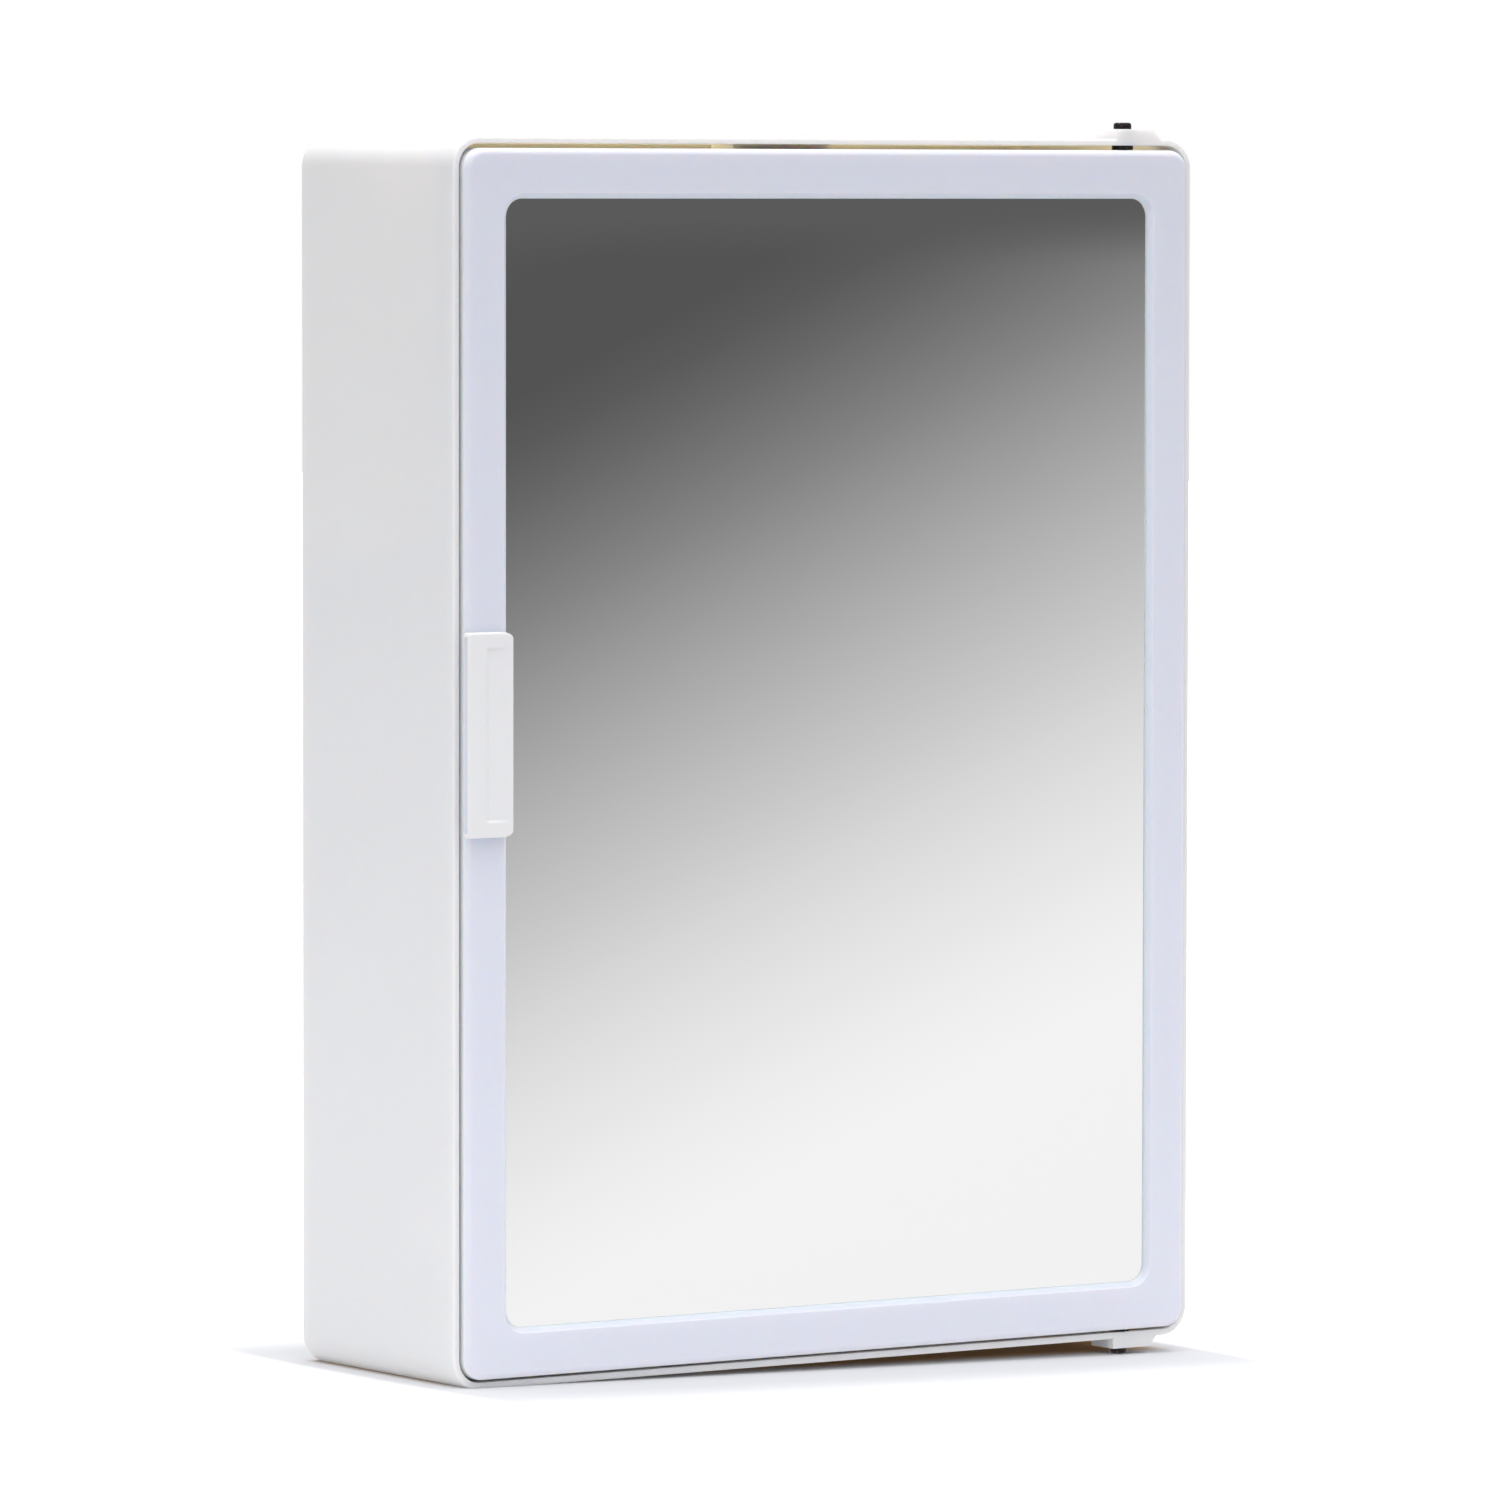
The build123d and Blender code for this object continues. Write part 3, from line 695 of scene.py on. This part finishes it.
    def studs(self, face: float) -> list[Shape]:
        """The two studs through the door: circles carried from inside the block to the back of the face."""
        low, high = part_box("handle_screws")
        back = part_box("door_handle")[1].y
        turn = np.linspace(0, TURN, 33)[:-1]
        middle = (low.z + high.z) / 2
        depths = np.array([face - self.stud_root * MM, back - self.stud_chamfer * MM, back])[:, None]
        radii = np.array([self.stud_radius, self.stud_radius, self.stud_radius - self.stud_chamfer])[:, None] * MM
        made = []
        for side in (-1, 1):
            centre = middle + side * self.screw_half_spacing * MM
            x = (low.x + high.x) / 2 + radii * np.cos(turn)
            z = centre + radii * np.sin(turn)
            made.append(lofted(np.stack([x, np.broadcast_to(depths, x.shape), z], axis=-1)))
        return made


@dataclass
class MirrorDoor:
    """The door: bezel, silvered glass, backing, back panel with its screws, and the strike plate."""

    glass_corner: float = 4.0 * MM
    arris: float = 0.25 * MM
    mark_radius: float = 3.0 * MM
    mark_columns: tuple[float, ...] = (-0.1, 0.0, 0.1)
    mark_rows: tuple[float, ...] = (-0.15, -0.05, 0.05, 0.15)

    def glass(self) -> Shape:
        """A flat plate with ground edges: the outline at full size, and drawn in by the arris at both faces."""
        low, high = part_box("mirror_glass")
        width, height = high.x - low.x, high.z - low.z
        middle = (low.z + high.z) / 2
        levels = [(self.arris, high.y), (0.0, high.y - self.arris), (0.0, low.y + self.arris), (self.arris, low.y)]
        rings = []
        for inset, y in levels:
            outline = rounded_outline(width - 2 * inset, height - 2 * inset, self.glass_corner - inset)
            rings.append(np.stack([outline[:, 0], np.full(len(outline), y), outline[:, 1] + middle], axis=1))
        return lofted(np.stack(rings))

    def build(self) -> None:
        """Make the bezel, glass and panel, and finish the small parts."""
        smooth_copy("door_bezel", "door_frame", DOOR_PLASTIC, Rider.DOOR)
        piece("silvered_glass_plate", self.glass(), MIRROR, Rider.DOOR, ["mirror_glass"])
        smooth_copy("door_back_cover", "door_back_panel", DOOR_PLASTIC, Rider.DOOR)
        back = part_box("door_back_panel")[1].y
        places = [(x, z) for x in self.mark_columns for z in self.mark_rows]
        piece("door_ejector_marks", ring_marks(places, self.mark_radius, back, 1), DOOR_PLASTIC, Rider.DOOR)
        dress(FOAM, "mirror_backing_sheet")
        dress(ZINC_STEEL, "strike_plate", "strike_plate_screws")
        dress(BLACK_STEEL, "back_panel_screws")


@dataclass
class SmallParts:
    """The magnetic catch and the hinge's screws and washers."""

    def build(self) -> None:
        """Finish the catch as it is, and give the round hinge parts smooth copies."""
        dress(CATCH_PLASTIC, "catch_housing")
        dress(FERRITE, "catch_magnet")
        dress(ZINC_STEEL, "catch_pole_plates", "catch_screws")
        for end in ("upper", "lower"):
            for kind in ("screw", "washer"):
                node = f"{end}_hinge_{kind}"
                smooth_copy(f"{node}_turned", node, BLACK_STEEL, Rider.CABINET)


# Studio


@dataclass
class Softbox:
    """A flat lamp that faces a point and isn't seen by the camera."""

    name: str
    place: tuple[float, float, float]
    towards: tuple[float, float, float]
    width: float
    height: float
    power: float
    tint: Colour = (1.0, 1.0, 1.0)
    mirrored: bool = False

    def build(self) -> None:
        """Make the lamp."""
        lamp = bpy.data.lights.new(self.name, "AREA")
        lamp.shape, lamp.size, lamp.size_y = "RECTANGLE", self.width, self.height
        lamp.energy, lamp.color = self.power, self.tint
        made = bpy.data.objects.new(self.name, lamp)
        bpy.context.scene.collection.objects.link(made)
        made.location = self.place
        aim = Vector(self.towards) - Vector(self.place)
        made.rotation_euler = aim.to_track_quat("-Z", "Y").to_euler()
        made.visible_camera = False
        made.visible_glossy = self.mirrored


@dataclass
class Studio:
    """White floor, pale room, soft lamps and the camera.

    The floor meets the body floor_inset in from its left side and floor_height above its lowest point, and the lower
    hinge screw screw_inset in from its right. Beneath the body a warm, dark contact shadow is painted on the floor:
    each of its three pairs says where that starts and is full, along X or Y from that side of the body. Over
    floor_reach, in metres from the body's middle, its colour fades to floor_far. The camera sees a greyer, bluer
    floor colour, painted shade that deepens the shadow round the body, lifted to white by a glow over lift_reach, in
    metres clear of the body, where what is clear at its sides counts lift_side times.
    """

    floor_half: float = 15.0
    floor_inset: float = 10.0 * MM
    floor_height: float = 3.9 * MM
    screw_inset: float = 1.0 * MM
    # Where the painted warm contact shadow beneath the body starts and is full.
    painted_shadow_sides: tuple[float, float] = (1.0 * MM, -12.0 * MM)
    painted_shadow_front: tuple[float, float] = (3.0 * MM, 18.0 * MM)
    painted_shadow_back: tuple[float, float] = (8.0 * MM, -10.0 * MM)
    floor_white: Colour = (0.8, 0.8, 0.805)
    floor_mottling: float = 0.005
    floor_blotches_per_metre: float = 3.0
    floor_roughness: float = 0.9
    floor_far: Colour = (0.25, 0.25, 0.255)
    # Painted shade: a greyer, bluer floor colour that only the camera sees, deepening the shadow round the body.
    floor_seen_shade: Colour = (0.65, 0.657, 0.682)
    # Colour of the painted contact shadow beneath the body.
    floor_painted_shadow: Colour = (0.55, 0.36, 0.2)
    floor_reach: tuple[float, float] = (0.5, 1.1)
    lift_reach: tuple[float, float] = (0.02, 0.13)
    lift_side: float = 6.0
    dome_low: float = 0.12
    dome_high: float = 1.5
    dome_reach: tuple[float, float] = (-0.1, 0.9)
    room_tilt: float = 0.535
    room_span: float = 4.0
    room_bearing: float = math.radians(34.6)
    room_stops: tuple[tuple[float, float], ...] = (
        (-7.0, 0.9), (-5.6, 0.905), (-5.2, 0.875), (-4.4, 0.765), (-3.94, 0.686), (-3.48, 0.591), (-1.62, 0.236),
        (-1.28, 0.184), (-0.93, 0.137), (-0.6, 0.103), (-0.3, 0.088), (0.2, 0.086), (0.7, 0.096), (3.0, 0.11),
        (9.0, 0.3),
    )
    room_top: float = 0.105
    room_top_from: tuple[float, float] = (-0.5, -0.1)
    room_top_to: tuple[float, float] = (6.0, 2.0)
    ceiling: float = 0.95
    ceiling_reach: tuple[float, float] = (0.15, 0.7)

    def floor(self) -> None:
        """A wide plane that touches the body's lower left edge and the lower hinge screw, as the cabinet stands."""
        body_low, body_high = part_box("cabinet_body")
        screw_low, screw_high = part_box("lower_hinge_screw")
        left, flat = body_low.x + self.floor_inset, body_low.z + self.floor_height
        slope = (screw_low.z - flat) / (screw_high.x - self.screw_inset - left)
        x = self.floor_half * np.array([-1.0, 1.0, 1.0, -1.0])
        y = self.floor_half * np.array([-1.0, -1.0, 1.0, 1.0])
        mesh = bpy.data.meshes.new("floor")
        mesh.from_pydata(np.stack([x, y, flat + slope * (x - left)], 1).tolist(), [], [(0, 1, 2, 3)])
        made = bpy.data.objects.new("floor", mesh)
        bpy.context.scene.collection.objects.link(made)
        made.visible_glossy = False
        material = bpy.data.materials.new("white_floor")
        material.use_nodes = True
        board = Board(material.node_tree)
        whole, across, depth, _ = board.place()
        beyond = depth - (body_low.y + body_high.y) / 2
        distance = board.maths("SQRT", across * across + beyond * beyond)
        aside = board.maths("MAXIMUM", abs(across) - body_high.x, 0.0) * self.lift_side
        ahead = board.maths("MAXIMUM", abs(beyond) - (body_high.y - body_low.y) / 2, 0.0)
        clear = board.maths("SQRT", aside * aside + ahead * ahead)
        # Painted warm contact shadow beneath the body.
        painted_shadow_mask = board.step(abs(across), *(body_high.x + reach for reach in self.painted_shadow_sides))
        painted_shadow_mask = painted_shadow_mask * board.step(depth, *(body_low.y + reach for reach in self.painted_shadow_front))
        painted_shadow_mask = painted_shadow_mask * board.step(depth, *self.painted_shadow_back)
        shaded = tuple(c * (1 - self.floor_mottling) for c in self.floor_white)
        paper = board.blend(board.noise(whole, self.floor_blotches_per_metre), self.floor_white, shaded)
        # The camera sees a greyer, bluer copy of the floor, painted shade, and a glow lifts it to white clear of the
        # body, which leaves a painted soft shadow round it.
        seen = board.out(board.node("ShaderNodeLightPath"), "Is Camera Ray")
        near = board.step(distance, self.floor_reach[1], self.floor_reach[0])
        lift = seen * board.step(clear, *self.lift_reach)
        paper = board.blend(seen, board.blend(near, self.floor_far, paper), self.floor_seen_shade)
        inputs = {
            "Base Color": board.blend(painted_shadow_mask, paper, self.floor_painted_shadow),
            "Roughness": self.floor_roughness,
            "Specular IOR Level": 0.0,
            "Emission Color": board.blend(lift, (0.0, 0.0, 0.0), (1.0, 1.0, 1.0)),
            "Emission Strength": 1.0,
        }
        board.finish(board.node("ShaderNodeBsdfPrincipled", None, inputs))
        mesh.materials.append(material)

    def room(self) -> None:
        """The world: white to the camera, a dome of soft light that grows upward, and a room for the mirror.

        The mirror shows white below and dark grey above. The grey is a curve of the direction's height in degrees,
        less the tilt times its bearing from the middle of what the mirror shows, so its bands rise to the right.
        About level the grey is even, and high above is a pale ceiling.
        """
        world = bpy.data.worlds.new("studio")
        world.use_nodes = True
        bpy.context.scene.world = world
        board = Board(world.node_tree)
        direction = board.out(board.node("ShaderNodeTexCoord"), "Generated")
        parts = board.node("ShaderNodeSeparateXYZ", None, {0: direction})
        across, depth, up = (board.out(parts, i) for i in range(3))
        height = up * math.degrees(1)
        bearing = (across * math.cos(self.room_bearing) + depth * math.sin(self.room_bearing)) * math.degrees(1)
        held = board.maths("MINIMUM", board.maths("MAXIMUM", bearing, -self.room_span), self.room_span)
        first, last = self.room_stops[0][0], self.room_stops[-1][0]
        share = (height - held * self.room_tilt - first) * (1 / (last - first))
        stops = [((place - first) / (last - first), (grey,) * 3) for place, grey in self.room_stops]
        bands = board.out(board.node("ShaderNodeValToRGB", {"stops": stops}, {0: share}))
        top = board.step(height, *self.room_top_from) * board.step(height, *self.room_top_to)
        bands = board.blend(top, bands, (self.room_top,) * 3)
        shown = board.blend(board.step(up, *self.ceiling_reach), bands, (self.ceiling,) * 3)
        dome = board.blend(board.step(up, *self.dome_reach), (self.dome_low,) * 3, (self.dome_high,) * 3)
        rays = board.node("ShaderNodeLightPath")
        light = board.blend(board.out(rays, "Is Glossy Ray"), dome, shown)
        light = board.blend(board.out(rays, "Is Camera Ray"), light, (1.0, 1.0, 1.0))
        board.finish(board.node("ShaderNodeBackground", None, {"Color": light}), "ShaderNodeOutputWorld")

    def lamps(self) -> None:
        """A large lamp above, a tall one at the front left, and a faint one inside, behind the top of the door."""
        for lamp in (
            Softbox("above", (0.0, -0.3, 1.6), (0.0, -0.1, 0.0), 1.6, 1.4, 12.8, mirrored=True),
            Softbox("front_left", (-1.5, -1.0, 0.25), (-0.1, -0.1, 0.0), 0.3, 1.1, 2.2, mirrored=True),
            Softbox("inside", (0.0, -0.062, 0.18), (0.0, -0.062, 1.0), 0.26, 0.03, 0.04, (1.0, 0.88, 0.62)),
        ):
            lamp.build()

    def camera(self) -> None:
        """The camera at the photograph's viewing angle, with its axes worked out from yaw, pitch and roll."""
        place = (-1.8709097, -2.7952813, 0.1875178)
        yaw, pitch, roll = 0.5976479925, -0.0568305063, 0.0013374910
        forward = np.array([math.sin(yaw) * math.cos(pitch), math.cos(yaw) * math.cos(pitch), math.sin(pitch)])
        level = np.array([math.cos(yaw), -math.sin(yaw), 0.0])
        upright = np.cross(level, forward)
        right = level * math.cos(roll) + upright * math.sin(roll)
        above = np.cross(right, forward)
        lens = bpy.data.cameras.new("camera")
        lens.sensor_width, lens.lens = 36.0, 238.5558
        lens.clip_start, lens.clip_end = 0.05, 100.0
        made = bpy.data.objects.new("camera", lens)
        bpy.context.scene.collection.objects.link(made)
        turned = Matrix(np.stack([right, above, -forward], axis=1).tolist()).to_4x4()
        made.matrix_world = Matrix.Translation(place) @ turned
        bpy.context.scene.camera = made

    def build(self) -> None:
        """Build the studio, and keep colours plain."""
        self.floor()
        self.room()
        self.lamps()
        self.camera()
        bpy.context.scene.view_settings.view_transform = "Standard"


def main() -> None:
    """Build the object's parts, then the studio."""
    logging.basicConfig(level=logging.INFO, format="%(name)s: %(message)s")
    builders: list[Callable[[], None]] = [
        CabinetShell().build, MirrorDoor().build, Handle().build, SmallParts().build, Studio().build,
    ]
    for build in builders:
        build()


if __name__ == "__main__":
    main()
